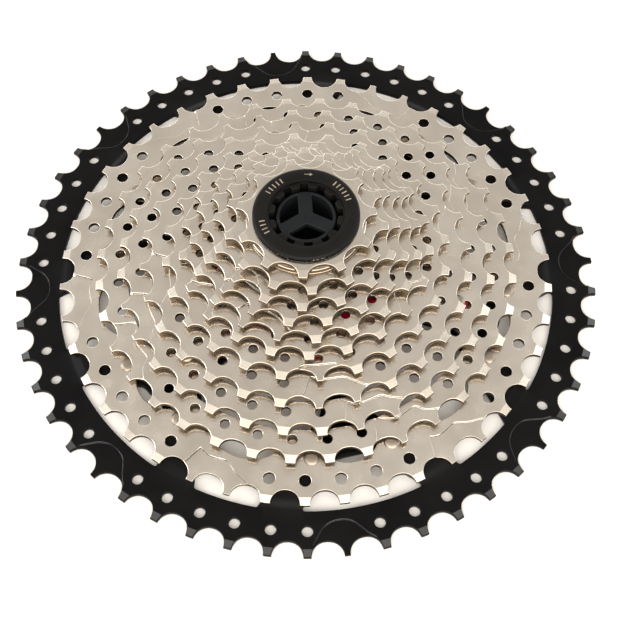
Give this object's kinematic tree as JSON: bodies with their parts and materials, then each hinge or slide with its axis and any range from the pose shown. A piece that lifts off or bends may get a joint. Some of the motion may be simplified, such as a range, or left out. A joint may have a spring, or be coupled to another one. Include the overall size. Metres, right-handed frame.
{
  "type": "bicycle cassette",
  "caption": "Stepped stack of toothed bicycle sprockets, steel on a black alloy low gear, closed by a notched lockring and carried on a plastic shipping core.",
  "frame": {"origin": "on the cassette's axis, in the plane that the back of the largest sprocket and the core's flange rest on", "axes": "+Z along the axis from the largest sprocket to the lockring; +X and +Y across it"},
  "size_m": [0.205, 0.2048, 0.043],
  "materials": {
    "nickel_steel": "satin nickel plate",
    "rivet_steel": "satin",
    "black_alloy": "black anodised, satin",
    "red_alloy": "red anodised",
    "spacer_alloy": "satin",
    "black_steel": "black oxide, satin",
    "core_plastic": "moulded, dull"
  },
  "bodies": {
    "core": {"shipping_core": "core_plastic"},
    "large_block": {"sprocket_50t": "black_alloy", "sprocket_42t": "nickel_steel", "ring_rivet_01": "rivet_steel", "ring_rivet_02": "rivet_steel", "ring_rivet_03": "rivet_steel", "ring_rivet_04": "rivet_steel", "ring_rivet_05": "rivet_steel", "ring_rivet_06": "rivet_steel", "ring_rivet_07": "rivet_steel", "ring_rivet_08": "rivet_steel", "ring_rivet_09": "rivet_steel", "ring_rivet_10": "rivet_steel", "ring_rivet_11": "rivet_steel", "ring_rivet_12": "rivet_steel"},
    "middle_block": {"carrier": "red_alloy", "sprocket_36t": "nickel_steel", "sprocket_32t": "nickel_steel", "sprocket_28t": "nickel_steel", "sprocket_24t": "nickel_steel", "carrier_outer_rivet_01": "rivet_steel", "carrier_outer_rivet_02": "rivet_steel", "carrier_outer_rivet_03": "rivet_steel", "carrier_inner_rivet_01": "rivet_steel", "carrier_inner_rivet_02": "rivet_steel", "carrier_inner_rivet_03": "rivet_steel", "carrier_inner_rivet_04": "rivet_steel", "carrier_inner_rivet_05": "rivet_steel", "carrier_inner_rivet_06": "rivet_steel"},
    "body_21t": {"sprocket_21t": "nickel_steel"},
    "body_19t": {"sprocket_19t": "nickel_steel", "spacer_below_19t": "spacer_alloy"},
    "body_17t": {"sprocket_17t": "nickel_steel", "spacer_below_17t": "spacer_alloy"},
    "body_15t": {"sprocket_15t": "nickel_steel", "spacer_below_15t": "spacer_alloy"},
    "body_13t": {"sprocket_13t": "nickel_steel"},
    "body_11t": {"sprocket_11t": "nickel_steel"},
    "washer": {"lockring_washer": "spacer_alloy"},
    "lockring": {"lockring": "black_steel"}
  },
  "joints": [
    {"name": "large_block_slide", "type": "slide", "parent": "core", "child": "large_block", "axis": [0, 0, 1], "range_m": [0, 0.0384]},
    {"name": "middle_block_slide", "type": "slide", "parent": "large_block", "child": "middle_block", "axis": [0, 0, 1], "range_m": [0, 0.0349]},
    {"name": "sprocket_21t_slide", "type": "slide", "parent": "middle_block", "child": "body_21t", "axis": [0, 0, 1], "range_m": [0, 0.0189]},
    {"name": "sprocket_19t_slide", "type": "slide", "parent": "body_21t", "child": "body_19t", "axis": [0, 0, 1], "range_m": [0, 0.0171]},
    {"name": "sprocket_17t_slide", "type": "slide", "parent": "body_19t", "child": "body_17t", "axis": [0, 0, 1], "range_m": [0, 0.0136]},
    {"name": "sprocket_15t_slide", "type": "slide", "parent": "body_17t", "child": "body_15t", "axis": [0, 0, 1], "range_m": [0, 0.01]},
    {"name": "sprocket_13t_slide", "type": "slide", "parent": "body_15t", "child": "body_13t", "axis": [0, 0, 1], "range_m": [0, 0.0064]},
    {"name": "sprocket_11t_slide", "type": "slide", "parent": "body_13t", "child": "body_11t", "axis": [0, 0, 1], "range_m": [0, 0.0029]},
    {"name": "lockring_lift", "type": "slide", "parent": "body_11t", "child": "washer", "axis": [0, 0, 1], "range_m": [0, 0.00529]},
    {"name": "lockring_turn", "type": "hinge", "parent": "washer", "child": "lockring", "pos_m": [0, 0, 0.043], "axis": [0, 0, 1], "range_deg": [0, 1800]}
  ],
  "couplings": [
    {"joint": "lockring_lift", "follows": "lockring_turn", "m_per_rad": 0.00016844}
  ]
}
